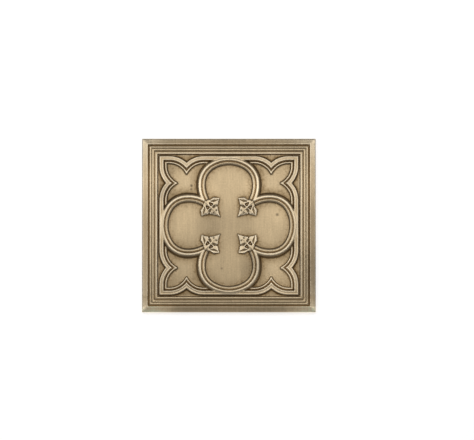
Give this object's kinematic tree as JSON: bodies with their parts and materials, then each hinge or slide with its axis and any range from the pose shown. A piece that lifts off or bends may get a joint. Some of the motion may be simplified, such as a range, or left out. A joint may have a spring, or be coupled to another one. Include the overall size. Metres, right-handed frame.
{
  "type": "decorative wall tile",
  "caption": "Square cast brass wall tile: a stepped, reeded frame round a sunk panel of Gothic tracery, with a quatrefoil, foiled and cusped corners and leaf cusps.",
  "frame": {"origin": "centre of the flat back", "axes": "+Z out of the back through the decorated face, X and Y along the tile's sides; the design is the same on every side"},
  "size_m": [0.1524, 0.1524, 0.008],
  "materials": {
    "brass": "satin antique brass, darkened in the recesses"
  },
  "bodies": {
    "root": {"brass_tile": "brass"}
  },
  "joints": []
}
